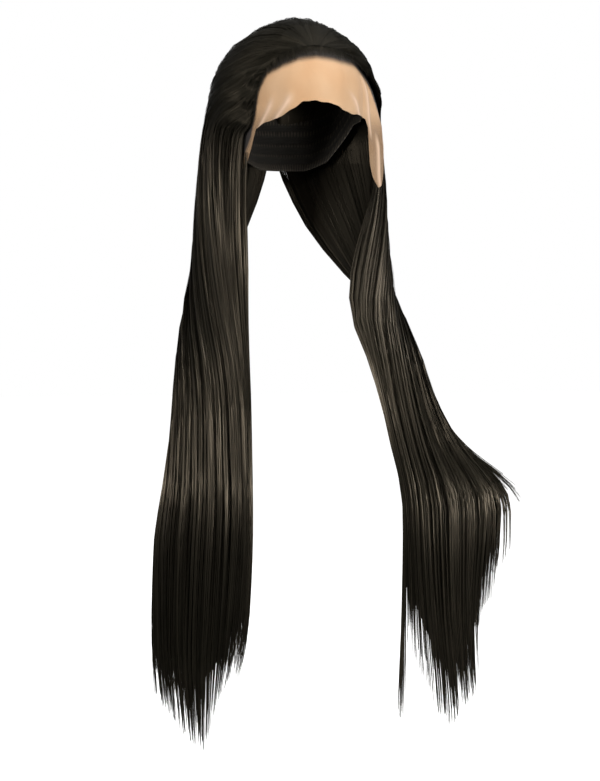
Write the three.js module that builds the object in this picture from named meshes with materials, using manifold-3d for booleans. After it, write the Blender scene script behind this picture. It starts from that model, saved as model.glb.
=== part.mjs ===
// A lace front wig with long straight hair. The hair is swept back from the hairline, parted down the back of
// the head, and brought forward over the shoulders in two long lengths.
// Millimetres, +Z up, and the wearer faces -Y. "Right" and "left" are the wearer's own.
// The origin is on the inside of the cap, where the top of the head bears on it.
import * as THREE from "three";
import { mergeVertices } from "three/addons/utils/BufferGeometryUtils.js";
import Module from "manifold-3d";

const wasm = await Module();
wasm.setup();

// The head that the cap is made for: an egg that is widest some way under the crown.
const headHalfBreadth = 76;
const foreheadReach = 99;
const occiputReach = 97;
const crownHeight = 80;
const napeDrop = 105;
const headRoundness = 1.92;

// Walls and the gaps between pieces.
const capWall = 1.5;
const laceWall = 1;
const seamGap = 0.3;

// The hair. Each length hangs with its middle this far out from the head's axis, and this far in front of it.
const headTurn = 14;
const hairLength = 792;
const rightSpread = 100;
const leftSpread = 160;
const chestReach = 90;
const rightHairLift = 26;
const leftHairLift = 20;
const rightThickness = 44;
const leftThickness = 38;
const partingGap = 0.6;

// Heights at which the hair is divided into its pieces, under the top of the head.
const crownHairDepth = 128;
const sideHairDepth = 300;

// The lace and the cap, measured down from the top of the head.
const hairlineDepth = 30;
const laceBrowDepth = 93;
const rightTabDepth = 169;
const leftFlapDepth = 179;
const leftFlapFlare = 20;
const napeDepth = 152;
const laceSeamDepth = 4;

// Meshing.
const capColumns = 28;
const capRows = 6;
const laceRows = 5;
const locksPerSide = 8;
const lockColumns = 4;
const crownSteps = 9;
const lengthSteps = 13;
const fallRows = 15;
const looseSides = 6;

const degrees = Math.PI / 180;
const up = new THREE.Vector3(0, 0, 1);

// Straight-line reading of a table of [place, value] rows, sorted by place.
function read(rows, place) {
  const last = rows.length - 1;
  if (place <= rows[0][0]) return rows[0][1];
  if (place >= rows[last][0]) return rows[last][1];
  const k = rows.findIndex((row) => row[0] > place) - 1;
  const share = (place - rows[k][0]) / (rows[k + 1][0] - rows[k][0]);
  return THREE.MathUtils.lerp(rows[k][1], rows[k + 1][1], share);
}

// The angle down from the crown at which the head's surface is this deep under its top.
function downAngle(depth) {
  const below = crownHeight - depth;
  const reach = below >= 0 ? crownHeight : napeDrop;
  const share = Math.min(1, Math.abs(below) / reach);
  const angle = Math.acos(share ** (headRoundness / 2));
  return below >= 0 ? angle : Math.PI - angle;
}

// A point on the head, or lift millimetres off it. round is the direction around the head in degrees, with 0
// at the face, 90 at the left ear and 180 at the nape. A hanging surface doesn't follow the head in under its
// widest level.
function onHead(round, down, lift, hangs = false) {
  const out = Math.sin(down) ** (2 / headRoundness);
  const height = Math.abs(Math.cos(down)) ** (2 / headRoundness);
  const under = down > Math.PI / 2;
  const wide = under && hangs ? 1 : out;
  const fore = Math.cos(round * degrees);
  const reach = fore > 0 ? foreheadReach : occiputReach;
  return new THREE.Vector3(
    (headHalfBreadth + lift) * wide * Math.sin(round * degrees),
    -(reach + lift) * wide * fore,
    -crownHeight + (under ? -(napeDrop + (hangs ? 0 : lift)) : crownHeight + lift) * height,
  );
}

// A closed solid from a three.js geometry whose every vertex is moved by place(x, y, z).
function solidOf(geometry, place) {
  const shape = geometry.clone();
  const position = shape.getAttribute("position");
  for (let i = 0; i < position.count; i++) {
    const p = place(position.getX(i), position.getY(i), position.getZ(i));
    position.setXYZ(i, p.x, p.y, p.z);
  }
  for (const name of ["normal", "uv"]) shape.deleteAttribute(name);
  const merged = mergeVertices(shape, 1e-3);
  const corners = merged.index.array;
  const kept = [];
  for (let i = 0; i < corners.length; i += 3) {
    const [a, b, c] = corners.slice(i, i + 3);
    if (a !== b && b !== c && c !== a) kept.push(a, b, c);
  }
  const vertProperties = merged.getAttribute("position").array;
  const make = (triVerts) => new wasm.Manifold(new wasm.Mesh({ numProp: 3, vertProperties, triVerts }));
  const made = make(new Uint32Array(kept));
  return made.volume() > 0 ? made : make(new Uint32Array(kept.reverse()));
}

function meshOf(name, solid, material) {
  const { vertProperties, triVerts } = solid.getMesh();
  const geometry = new THREE.BufferGeometry();
  geometry.setAttribute("position", new THREE.BufferAttribute(vertProperties, 3));
  geometry.setIndex(new THREE.BufferAttribute(triVerts, 1));
  const mesh = new THREE.Mesh(geometry, material);
  mesh.name = name;
  return mesh;
}

// A box that holds everything between two depths, and between two sides of the head's middle plane.
function slab(topDepth, bottomDepth, fromX = -hairLength, toX = hairLength) {
  const size = [toX - fromX, 2 * hairLength, bottomDepth - topDepth];
  const box = new THREE.BoxGeometry(...size);
  box.translate((fromX + toX) / 2, 0, -(topDepth + bottomDepth) / 2);
  return solidOf(box, (x, y, z) => new THREE.Vector3(x, y, z));
}

// Where the hair starts, as [direction around the head, depth]. The lace shows in front of it. On the left it
// sweeps back over the loose flap of lace.
const hairline = [
  [-65, crownHairDepth + 20],
  [-57, crownHairDepth],
  [-52, hairlineDepth * 3.4],
  [-49, hairlineDepth * 2.6],
  [-42, hairlineDepth * 1.85],
  [-29, hairlineDepth * 1.33],
  [-16, hairlineDepth * 1.1],
  [0, hairlineDepth],
  [16, hairlineDepth * 1.05],
  [30, hairlineDepth * 1.15],
  [47, hairlineDepth * 1.5],
  [62, hairlineDepth * 2.07],
  [70, hairlineDepth * 2.8],
  [77, hairlineDepth * 3.55],
  [97, crownHairDepth + 12],
];

// The lace's free edge, which is wavy over the brows and runs down into a narrow tab in front of the right
// ear and a loose flap in front of the left one, as [direction, depth].
const laceEdge = [
  [-72, rightTabDepth],
  [-67, rightTabDepth * 0.98],
  [-61, rightTabDepth * 0.92],
  [-56, rightTabDepth * 0.82],
  [-51, laceBrowDepth * 1.27],
  [-43, laceBrowDepth * 1.22],
  [-33, laceBrowDepth * 1.19],
  [-22, laceBrowDepth * 1.08],
  [-12, laceBrowDepth],
  [0, laceBrowDepth * 0.98],
  [11, laceBrowDepth],
  [22, laceBrowDepth * 1.07],
  [36, laceBrowDepth * 1.1],
  [55, laceBrowDepth * 1.12],
  [58, laceBrowDepth * 1.22],
  [60, leftFlapDepth * 0.83],
  [64, leftFlapDepth * 0.93],
  [69, leftFlapDepth],
  [73, leftFlapDepth * 0.98],
  [77, leftFlapDepth * 0.9],
  [79, leftFlapDepth * 0.76],
];

// How far the lace, and the hair behind it, stands off the head on the left: across the flap and back to the ear
// as [direction, share of its flare], and down it as [share of the way from the seam to the flap's full flare, share of its flare].
const flareAcross = [
  [52, 0],
  [58, 0.15],
  [62, 0.3],
  [66, 0.5],
  [70, 0.7],
  [74, 0.87],
  [78, 1],
  [82, 1],
  [106, 0],
];
const flareDown = [
  [0, 0],
  [0.31, 0.5],
  [0.46, 0.7],
  [0.66, 0.9],
  [1, 1],
];
const fullFlareDepth = leftFlapDepth * 0.73;

// The seam between lace and cap: over the top of the head, and down in front of each ear.
const seamEnd = laceBrowDepth * 1.08;
const laceSeam = [
  [0, laceSeamDepth],
  [50, laceSeamDepth * 2.5],
  [73, seamEnd * 0.5],
  [92, seamEnd],
];

// The cap's rim behind the ears and round the nape, as [direction off the face, depth].
const capRim = [
  [92, seamEnd],
  [104, seamEnd * 1.02],
  [128, napeDepth * 0.94],
  [150, napeDepth],
  [180, napeDepth],
];

function rimDepth(round) {
  const away = Math.abs(round);
  return away < 92 ? read(laceSeam, away) : read(capRim, away);
}

// A dome over the head in columns around it and rows from its top to its rim, where place gives the point for
// a direction around the head, a share of the way down to the rim, and the inner or the outer face.
function domeSolid(columns, rows, place) {
  const profile = [];
  for (let i = 0; i <= rows; i++) profile.push(new THREE.Vector2(i / rows, 0));
  for (let i = rows; i >= 0; i--) profile.push(new THREE.Vector2(i / rows, 1));
  return solidOf(new THREE.LatheGeometry(profile, columns), (x, y, z) =>
    place(Math.atan2(x, -z) / degrees, Math.hypot(x, z), y > 0.5),
  );
}

// The cap, or the room that it takes when its rim and its faces are moved out.
function capSolid(rimGap = 0, faceGap = 0) {
  return domeSolid(capColumns, capRows, (round, share, outer) => {
    const rim = downAngle(rimDepth(round)) + rimGap / crownHeight;
    return onHead(round, share * rim, outer ? capWall + faceGap : -faceGap);
  });
}

function laceStand(round, depth) {
  const seam = rimDepth(round);
  const down = (depth - seam) / (fullFlareDepth - seam);
  return leftFlapFlare * read(flareAcross, round) * read(flareDown, down);
}

// The lace over some rows of its edge's table. It starts under the cap's front edge, which is cut out of it.
// With a gap it is the room that the hair leaves for it, from the head out past it.
const laceLap = 4;
function laceSolid(rows = laceEdge, gap = 0) {
  const last = rows.length - 1;
  const patch = new THREE.BoxGeometry(1, 1, 1, 2 * last, 1, laceRows);
  return solidOf(patch, (x, y, z) => {
    const round = read(rows.map((row, i) => [i, row[0]]), (x + 0.5) * last) + (x === 0.5 ? gap : 0);
    const seam = downAngle(rimDepth(round)) - laceLap / crownHeight;
    const edge = downAngle(read(rows, round) + gap);
    const down = THREE.MathUtils.lerp(seam, edge, z + 0.5);
    const stand = laceStand(round, -onHead(round, down, 0).z);
    const inner = gap ? -laceLap : stand;
    return onHead(round, down, y > 0 ? stand + laceWall + gap : inner, true);
  });
}

// A direction from the head's middle as a unit vector, and back.
function toward(round, down) {
  const s = Math.sin(down);
  return new THREE.Vector3(s * Math.sin(round * degrees), -s * Math.cos(round * degrees), Math.cos(down));
}

const hairlineWays = hairline.map(([round, depth]) => toward(round, downAngle(depth)));

function fromHairline(direction) {
  return Math.min(...hairlineWays.map((way) => direction.angleTo(way))) / degrees;
}

// The hair lies flat at the hairline and stands off the head to its full lift this far behind it, in degrees.
const fullLiftAngle = 18;
const thinnestShare = 0.12;
const leastHair = 3.5;

// Its lift over the head, as [depth, share of the side's lift by the ear].
const liftByDepth = [
  [0, 0.46],
  [hairlineDepth * 0.3, 0.36],
  [hairlineDepth * 0.7, 0.42],
  [hairlineDepth * 1.2, 0.58],
  [crownHeight * 0.75, 0.72],
  [crownHeight, 0.85],
  [crownHairDepth, 1.05],
];

// The hair's thickness in a direction from the head's middle, over the lace where that stands off the head.
function hairThickness(direction, round, depth) {
  const across = THREE.MathUtils.smoothstep(direction.x, -0.6, 0.6);
  const full = THREE.MathUtils.lerp(rightHairLift, leftHairLift, across) * read(liftByDepth, depth);
  const grown = THREE.MathUtils.smoothstep(fromHairline(direction), 0, fullLiftAngle);
  return Math.max(leastHair, full * THREE.MathUtils.lerp(thinnestShare, 1, grown) - laceStand(round, depth));
}

// Sections through the hair of each side under the crown. A section is a curve through its front end, its
// middle and its back end, each given by how far it is out from the head's axis, as a share of the side's
// spread, and how far in front of it, as a share of the chest's reach. level is a share of the hair's length,
// and thick a share of that side's thickness. Shoulders and chest are turned against the head.
const sectionColumns = ["level", "frontOut", "frontFore", "midOut", "midFore", "backOut", "backFore", "thick"];
const rightSections = [
  [0.221, 0.62, 0.62, 1.02, -0.33, 0.36, -1.16, 0.64],
  [0.28, 0.58, 0.51, 1.04, -0.2, 0.52, -0.98, 0.64],
  [0.331, 0.56, 0.51, 1.06, 0, 0.84, -0.64, 0.68],
  [0.381, 0.58, 0.62, 1.02, 0.38, 1.12, -0.09, 0.77],
  [0.449, 0.54, 0.78, 0.97, 0.73, 1.2, 0.44, 0.86],
  [0.518, 0.51, 0.91, 0.94, 0.93, 1.28, 0.73, 0.95],
  [0.636, 0.49, 0.98, 0.95, 1.04, 1.42, 0.91, 1],
  [0.707, 0.49, 0.96, 0.98, 1.02, 1.52, 0.89, 1],
  [0.808, 0.52, 0.89, 1.03, 0.96, 1.56, 0.82, 0.91],
  [0.884, 0.6, 0.84, 1.06, 0.89, 1.56, 0.76, 0.73],
  [1, 0.88, 0.82, 1.04, 0.84, 1.5, 0.71, 0.41],
];
const leftSections = [
  [0.221, 0.49, -0.11, 0.48, -0.72, -0.09, -1.16, 0.55],
  [0.28, 0.4, 0.16, 0.55, -0.44, 0.06, -1.02, 0.63],
  [0.331, 0.34, 0.38, 0.58, -0.16, 0.33, -0.69, 0.74],
  [0.381, 0.33, 0.58, 0.59, 0.29, 0.63, -0.11, 0.84],
  [0.449, 0.48, 0.76, 0.67, 0.67, 0.76, 0.4, 0.95],
  [0.518, 0.58, 0.89, 0.75, 0.87, 0.9, 0.62, 1],
  [0.581, 0.65, 0.96, 0.86, 0.96, 1.14, 0.78, 0.95],
  [0.613, 0.7, 0.97, 0.94, 0.98, 1.36, 0.8, 0.92],
  [0.66, 0.73, 0.97, 0.99, 0.97, 1.47, 0.82, 0.9],
  [0.707, 0.73, 0.96, 0.99, 0.96, 1.43, 0.82, 0.9],
  [0.808, 0.73, 0.89, 1.02, 0.91, 1.34, 0.78, 0.79],
  [0.884, 0.72, 0.87, 1.06, 0.87, 1.32, 0.73, 0.63],
  [0.972, 0.71, 0.84, 1.1, 0.82, 1.32, 0.69, 0.37],
];

// Each lock's tip as a share of the hair's length, from the front lock to the back one.
const rightTips = [0.89, 0.926, 0.985, 1, 0.995, 0.985, 0.965, 0.94];
const leftTips = [0.86, 0.9, 0.95, 0.97, 0.945, 0.935, 0.915, 0.72];

const sides = {
  right: {
    sign: -1,
    spread: rightSpread,
    thickness: rightThickness,
    sections: rightSections,
    tips: rightTips,
    firstRound: 60,
  },
  left: {
    sign: 1,
    spread: leftSpread,
    thickness: leftThickness,
    sections: leftSections,
    tips: leftTips,
    firstRound: 99,
  },
};
const hairlineEnds = [57, 0];

// Locks that hang apart from the rest, one beside the face on each side and a short one at the back edge.
const looseLocks = [
  { side: sides.right, place: 0.01, tip: 0.9, width: 9 },
  { side: sides.left, place: 0, tip: 0.955, width: 7 },
  { side: sides.left, place: 0.99, tip: 0.62, width: 9 },
];

// The form of a lock: how deep and how wide the groove beside it is, how far up its tip's notches reach, and
// where it thins. These are shares of the lock's thickness, of half its width, and of its length.
const grooveDepth = 0.45;
const grooveShare = 0.88;
const notchShare = 0.06;
const tipStart = 0.78;
const tipThickness = 0.18;
const edgeShare = 0.3;
const edgeWidth = 0.14;

// A point of a side's section at one level, with place from 0 at the front to 1 at the back.
function onSection(side, row, place) {
  const r = Object.fromEntries(sectionColumns.map((name, i) => [name, row[i]]));
  const ends = [
    [r.frontOut, r.frontFore],
    [r.midOut, r.midFore],
    [r.backOut, r.backFore],
  ];
  const weights = [(1 - place) * (1 - 2 * place), 4 * place * (1 - place), place * (2 * place - 1)];
  let out = 0;
  let fore = 0;
  ends.forEach(([endOut, endFore], i) => {
    out += weights[i] * endOut;
    fore += weights[i] * endFore;
  });
  const point = new THREE.Vector3(side.sign * side.spread * out, -chestReach * fore, 0);
  point.applyAxisAngle(up, -headTurn * degrees);
  point.z = -hairLength * r.level;
  return point;
}

// Section rows at any level, by reading each column of the table.
function rowAt(side, level) {
  return sectionColumns.map((name, i) => read(side.sections.map((row) => [row[0], row[i]]), level));
}

// Which way a section faces out at a place.
function sectionOutward(side, row, place) {
  const run = onSection(side, row, place + 0.01).sub(onSection(side, row, place - 0.01));
  return new THREE.Vector3(run.y, -run.x, 0).multiplyScalar(side.sign).normalize();
}

// One place's way over the head and down to its tip, as marks with a point on the inner face of the hair, the
// direction that faces outward, and the hair's thickness.
function marksOf(side, place, tip) {
  const root = side.sign * THREE.MathUtils.lerp(...hairlineEnds, place);
  const endRound = side.sign * THREE.MathUtils.lerp(side.firstRound, 180, place);
  const from = toward(root, downAngle(read(hairline, root)));
  const to = toward(endRound, downAngle(crownHairDepth));
  const turn = new THREE.Quaternion().setFromUnitVectors(from, to);
  const marks = [];
  for (let k = 0; k <= crownSteps; k++) {
    const direction = from.clone().applyQuaternion(new THREE.Quaternion().slerp(turn, k / crownSteps));
    const round = Math.atan2(direction.x, -direction.y) / degrees;
    const down = Math.acos(THREE.MathUtils.clamp(direction.z, -1, 1));
    const depth = -onHead(round, down, 0).z;
    const thick = hairThickness(direction, round, depth);
    const stand = laceStand(round, depth);
    const point = onHead(round, down, capWall + seamGap + stand, true);
    const outward = onHead(round, down, 2 * crownHeight, true).sub(point).normalize();
    marks.push({ point, outward, thick, rooted: 1, buried: stand + roomLift + 2 * capWall });
  }
  const top = side.sections[0][0];
  for (let k = 0; k < lengthSteps; k++) {
    const row = rowAt(side, THREE.MathUtils.lerp(top, tip, k / (lengthSteps - 1)));
    const outward = sectionOutward(side, row, place);
    const thick = side.thickness * row[sectionColumns.indexOf("thick")];
    marks.push({ point: onSection(side, row, place).addScaledVector(outward, -thick / 2), outward, thick, rooted: 0, buried: 0 });
  }
  return marks;
}

// The frame of a way at a share of its marks.
function wayOf(marks) {
  const way = new THREE.CatmullRomCurve3(marks.map((mark) => mark.point), false, "centripetal");
  return (share) => {
    const at = share * (marks.length - 1);
    const k = Math.min(marks.length - 2, Math.floor(at));
    const [above, below] = marks.slice(k, k + 2);
    const outward = above.outward.clone().lerp(below.outward, at - k).normalize();
    const thick = THREE.MathUtils.lerp(above.thick, below.thick, at - k);
    const rooted = THREE.MathUtils.lerp(above.rooted, below.rooted, at - k);
    const buried = THREE.MathUtils.lerp(above.buried, below.buried, at - k);
    return { point: way.getPoint(share), along: way.getTangent(share), outward, thick, rooted, buried };
  };
}

// How far a place is from the middle of its lock, from 0 to 1 where it meets the next lock.
function offLock(place) {
  const phase = place * locksPerSide;
  return 2 * Math.abs(phase - Math.floor(phase) - 0.5);
}

// Each lock hangs down to a point between the notches at its sides.
function tipAt(side, place) {
  const even = read(side.tips.map((tip, i) => [(i + 0.5) / locksPerSide, tip]), place);
  return even * (1 - notchShare * offLock(place));
}

const wayMemory = new Map();
function wayAt(side, place) {
  const key = side.sign * (1 + place);
  if (!wayMemory.has(key)) wayMemory.set(key, wayOf(marksOf(side, place, tipAt(side, place))));
  return wayMemory.get(key);
}

// A point of the hair's outer face, which bulges along each lock, or of its inner one. The hair is thin at its
// front edge, at the parting, and toward its tips. On the head it starts out deeper than the head's room.
function hairPoint(side, place, share, outer) {
  const { point, outward, thick, rooted, buried } = wayAt(side, place)(share);
  const bulge = Math.sqrt(1 - (grooveShare * offLock(place)) ** 2);
  const fromEdge = Math.min(place, 1 - place);
  const edge = THREE.MathUtils.lerp(edgeShare, 1, THREE.MathUtils.smoothstep(fromEdge, 0, edgeWidth));
  const drawn = THREE.MathUtils.lerp(1, tipThickness, THREE.MathUtils.smoothstep(share, tipStart, 1));
  const full = thick * THREE.MathUtils.lerp(edge, 1, rooted) * drawn;
  const slack = ((thick - full) / 2) * (1 - rooted);
  return point.addScaledVector(outward, outer ? slack + full * (1 - grooveDepth * (1 - bulge)) : slack - buried);
}

// The hair over the whole head, from the hairline down past the cut under the crown's hair.
function crownSolid() {
  const columns = 2 * locksPerSide * lockColumns;
  const end = (crownSteps + 1) / (crownSteps + lengthSteps);
  return solidOf(new THREE.BoxGeometry(1, 1, 1, columns, 1, crownSteps + 1), (x, y, z) => {
    const side = x < 0 ? sides.right : sides.left;
    return hairPoint(side, 1 - 2 * Math.abs(x), end * (0.5 - z), y > 0);
  });
}

// One side's hair, from above that cut down to the tips.
function fallSolid(side) {
  const start = (crownSteps - 1) / (crownSteps + lengthSteps);
  return solidOf(new THREE.BoxGeometry(1, 1, 1, locksPerSide * lockColumns, 1, fallRows), (x, y, z) =>
    hairPoint(side, x + 0.5, THREE.MathUtils.lerp(start, 1, 0.5 - z), y > 0),
  );
}

// A thin lock that hangs apart from the rest: a cylinder bent along its way and drawn out to its tip.
function looseLockSolid({ side, place, tip, width }) {
  const way = wayOf(marksOf(side, place, tip));
  const rod = new THREE.CylinderGeometry(1, 1, 1, looseSides, fallRows);
  const start = crownSteps / (crownSteps + lengthSteps);
  return solidOf(rod, (x, y, z) => {
    const share = THREE.MathUtils.lerp(1, start, y + 0.5);
    const { point, along, outward, thick } = way(share);
    const across = new THREE.Vector3().crossVectors(along, outward).normalize();
    const drawn = THREE.MathUtils.lerp(1, tipThickness, THREE.MathUtils.smoothstep(share, tipStart, 1));
    point.addScaledVector(outward, thick / 2 + (z * width * drawn) / 2);
    return point.addScaledVector(across, (x * width * drawn) / 2);
  });
}

// The room that the hair leaves for the head, the cap and the lace, straight down past the lace's lowest tip.
const roomRows = 12;
const roomLift = capWall + 2 * seamGap;
const roomDepth = leftFlapDepth + 5;
function headRoomSolid() {
  return domeSolid(capColumns, roomRows, (round, share, outer) => {
    if (outer) return onHead(round, (share * Math.PI) / 2, roomLift, true);
    const point = onHead(round, Math.PI / 2, roomLift, true).multiplyScalar(share);
    point.z = -roomDepth;
    return point;
  });
}

function sideSolids(side) {
  let hair = fallSolid(side);
  for (const lock of looseLocks.filter((loose) => loose.side === side)) hair = hair.add(looseLockSolid(lock));
  const [from, to] = side.sign < 0 ? [-hairLength, -partingGap / 2] : [partingGap / 2, hairLength];
  return {
    side: hair.intersect(slab(crownHairDepth + seamGap, sideHairDepth, from, to)).subtract(headRoom),
    lengths: hair.intersect(slab(sideHairDepth + seamGap, 2 * hairLength)),
  };
}

const headRoom = headRoomSolid();
const standingLace = laceEdge.filter(([round]) => round >= flareAcross[0][0]);
const laceRoom = laceSolid(standingLace, laceWall + seamGap);
const right = sideSolids(sides.right);
const left = sideSolids(sides.left);
const crown = crownSolid().intersect(slab(-hairLength, crownHairDepth)).subtract(headRoom).subtract(laceRoom);

const hairLook = new THREE.MeshStandardMaterial({ color: 0x1c1814, roughness: 0.42, metalness: 0 });
const laceLook = new THREE.MeshStandardMaterial({ color: 0xcfa987, roughness: 0.8, metalness: 0 });
const capLook = new THREE.MeshStandardMaterial({ color: 0x1a1715, roughness: 0.9, metalness: 0 });

const wig = new THREE.Group();
wig.add(
  meshOf("wig_cap", capSolid(), capLook),
  meshOf("lace_front", laceSolid().subtract(capSolid(seamGap, laceLap)), laceLook),
  meshOf("crown_hair", crown, hairLook),
  meshOf("right_side_hair", right.side, hairLook),
  meshOf("left_side_hair", left.side.subtract(laceRoom), hairLook),
  meshOf("right_lengths", right.lengths, hairLook),
  meshOf("left_lengths", left.lengths, hairLook),
);

export default wig;
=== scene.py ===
# %% [markdown]
# # A lace front wig
#
# A lace front wig is hair on a soft cap. Most of the hair is sewn on in rows, and the hair along the
# forehead is knotted one by one into a sheer lace, so that it seems to grow there. This lesson dresses the
# plain solids of such a wig: thousands of thin ribbons for the hair, a sheer net for the lace and a dark
# net for the cap.
#
# The solids come first, as a fixed frame. Everything below is in metres, in the same place as they are.

import math

import bpy
import numpy as np
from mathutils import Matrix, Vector


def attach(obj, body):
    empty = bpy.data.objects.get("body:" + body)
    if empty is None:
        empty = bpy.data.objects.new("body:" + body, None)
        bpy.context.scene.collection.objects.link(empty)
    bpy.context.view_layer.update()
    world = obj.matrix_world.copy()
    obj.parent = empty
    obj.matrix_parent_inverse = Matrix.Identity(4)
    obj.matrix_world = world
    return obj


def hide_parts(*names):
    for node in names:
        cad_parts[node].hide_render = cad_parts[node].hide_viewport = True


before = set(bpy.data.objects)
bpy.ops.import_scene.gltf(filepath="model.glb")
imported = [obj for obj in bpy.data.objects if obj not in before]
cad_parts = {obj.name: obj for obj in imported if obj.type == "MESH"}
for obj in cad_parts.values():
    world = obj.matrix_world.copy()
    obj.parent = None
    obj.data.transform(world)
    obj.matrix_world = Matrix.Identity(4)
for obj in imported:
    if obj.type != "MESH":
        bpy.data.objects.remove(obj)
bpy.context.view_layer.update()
print("pieces of the frame:", sorted(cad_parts))

# %% [markdown]
# ## The form that a wig is made to
#
# A wig maker sews the cap over a block of an average head's form. It is an egg, here a superellipsoid that
# is widest some way under the crown. A place on it is a direction around the head in degrees, with 0 in
# front and 90 at the left ear, and an angle down from the crown. Numpy works out many places at once.

# %% The form of the cap's inside
MM = 0.001
HEAD_HALF_BREADTH = 76 * MM
FOREHEAD_REACH = 99 * MM
OCCIPUT_REACH = 97 * MM
CROWN_HEIGHT = 80 * MM
NAPE_DROP = 105 * MM
HEAD_ROUNDNESS = 1.92


def read(rows, place):
    places, values = zip(*rows)
    return np.interp(place, places, values)


def down_angle(depth):
    below = CROWN_HEIGHT - np.asarray(depth, float)
    reach = np.where(below >= 0, CROWN_HEIGHT, NAPE_DROP)
    angle = np.arccos(np.clip(np.abs(below) / reach, 0, 1) ** (HEAD_ROUNDNESS / 2))
    return np.where(below >= 0, angle, math.pi - angle)


def on_head(around, down, lift, hangs=False):
    around, down, lift = np.broadcast_arrays(np.radians(around), down, lift)
    out = np.clip(np.sin(down), 0, 1) ** (2 / HEAD_ROUNDNESS)
    height = np.abs(np.cos(down)) ** (2 / HEAD_ROUNDNESS)
    under = down > math.pi / 2
    wide = np.where(under & hangs, 1, out)
    reach = np.where(np.cos(around) > 0, FOREHEAD_REACH, OCCIPUT_REACH)
    drop = np.where(under, -(NAPE_DROP + (0 if hangs else lift)), CROWN_HEIGHT + lift)
    x = (HEAD_HALF_BREADTH + lift) * wide * np.sin(around)
    y = -(reach + lift) * wide * np.cos(around)
    return np.stack([x, y, -CROWN_HEIGHT + drop * height], axis=-1)


print("the cap is made for a head", round(2 * HEAD_HALF_BREADTH / MM), "mm broad")

# %% [markdown]
# ## Where the hair, the lace and the cap end
#
# These short tables are read by direction around the head. The lace shows between the hairline and its own
# free edge, and it stands off the head in a loose flap on the wearer's left. The cap's rim runs over the
# top of the head, down in front of the ears and round the nape.

# %% Edges of the lace, the hair and the cap
CAP_WALL = 1.5 * MM
LACE_WALL = 1 * MM
SEAM_GAP = 0.3 * MM
HAIRLINE_DEPTH = 30 * MM
LACE_BROW_DEPTH = 93 * MM
RIGHT_TAB_DEPTH = 169 * MM
LEFT_FLAP_DEPTH = 179 * MM
LEFT_FLAP_FLARE = 20 * MM
NAPE_DEPTH = 152 * MM
LACE_SEAM_DEPTH = 4 * MM
CROWN_HAIR_DEPTH = 128 * MM

HAIRLINE = [
    (-65, CROWN_HAIR_DEPTH + 20 * MM),
    (-57, CROWN_HAIR_DEPTH),
    (-52, HAIRLINE_DEPTH * 3.4),
    (-49, HAIRLINE_DEPTH * 2.6),
    (-42, HAIRLINE_DEPTH * 1.85),
    (-29, HAIRLINE_DEPTH * 1.33),
    (-16, HAIRLINE_DEPTH * 1.1),
    (0, HAIRLINE_DEPTH),
    (16, HAIRLINE_DEPTH * 1.05),
    (30, HAIRLINE_DEPTH * 1.15),
    (47, HAIRLINE_DEPTH * 1.5),
    (62, HAIRLINE_DEPTH * 2.07),
    (70, HAIRLINE_DEPTH * 2.8),
    (77, HAIRLINE_DEPTH * 3.55),
    (97, CROWN_HAIR_DEPTH + 12 * MM),
]
LACE_EDGE = [
    (-72, RIGHT_TAB_DEPTH),
    (-67, RIGHT_TAB_DEPTH * 0.98),
    (-61, RIGHT_TAB_DEPTH * 0.92),
    (-56, RIGHT_TAB_DEPTH * 0.82),
    (-51, LACE_BROW_DEPTH * 1.27),
    (-43, LACE_BROW_DEPTH * 1.22),
    (-33, LACE_BROW_DEPTH * 1.19),
    (-22, LACE_BROW_DEPTH * 1.08),
    (-12, LACE_BROW_DEPTH),
    (0, LACE_BROW_DEPTH * 0.98),
    (11, LACE_BROW_DEPTH),
    (22, LACE_BROW_DEPTH * 1.07),
    (36, LACE_BROW_DEPTH * 1.1),
    (55, LACE_BROW_DEPTH * 1.12),
    (58, LACE_BROW_DEPTH * 1.22),
    (60, LEFT_FLAP_DEPTH * 0.83),
    (64, LEFT_FLAP_DEPTH * 0.93),
    (69, LEFT_FLAP_DEPTH),
    (73, LEFT_FLAP_DEPTH * 0.98),
    (77, LEFT_FLAP_DEPTH * 0.9),
    (79, LEFT_FLAP_DEPTH * 0.76),
]
FLARE_ACROSS = [(52, 0), (58, 0.15), (62, 0.3), (66, 0.5), (70, 0.7), (74, 0.87), (78, 1), (82, 1), (106, 0)]
FLARE_DOWN = [(0, 0), (0.31, 0.5), (0.46, 0.7), (0.66, 0.9), (1, 1)]
FULL_FLARE_DEPTH = LEFT_FLAP_DEPTH * 0.73

SEAM_END = LACE_BROW_DEPTH * 1.08
CAP_RIM = [
    (0, LACE_SEAM_DEPTH),
    (50, LACE_SEAM_DEPTH * 2.5),
    (73, SEAM_END * 0.5),
    (92, SEAM_END),
    (104, SEAM_END * 1.02),
    (128, NAPE_DEPTH * 0.94),
    (150, NAPE_DEPTH),
    (180, NAPE_DEPTH),
]


def rim_depth(around):
    return read(CAP_RIM, np.abs(around))


def lace_stand(around, depth):
    seam = rim_depth(around)
    share = (depth - seam) / (FULL_FLARE_DEPTH - seam)
    return LEFT_FLAP_FLARE * read(FLARE_ACROSS, around) * read(FLARE_DOWN, share)


print("the flap of lace hangs", round(LEFT_FLAP_DEPTH / MM), "mm under the top of the head")

# %% [markdown]
# ## The ways that the hair takes
#
# Straight hair is easy to describe as a bundle: each hair keeps its neighbours from root to tip. So the
# hair of one side is a block with three coordinates. Place runs from the front edge, 0, to the parting at
# the back, 1. Row counts the marks along a hair, from 0 at the hairline past 9 at the height of the ear to
# 23 at the longest tips. Layer runs from the inner face, 0, to the outer one, 1.
#
# On the head a way starts along a great circle from the hairline, and its weight turns it down. Below the
# ears it follows a table of sections, each a curve through three points.

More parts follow.
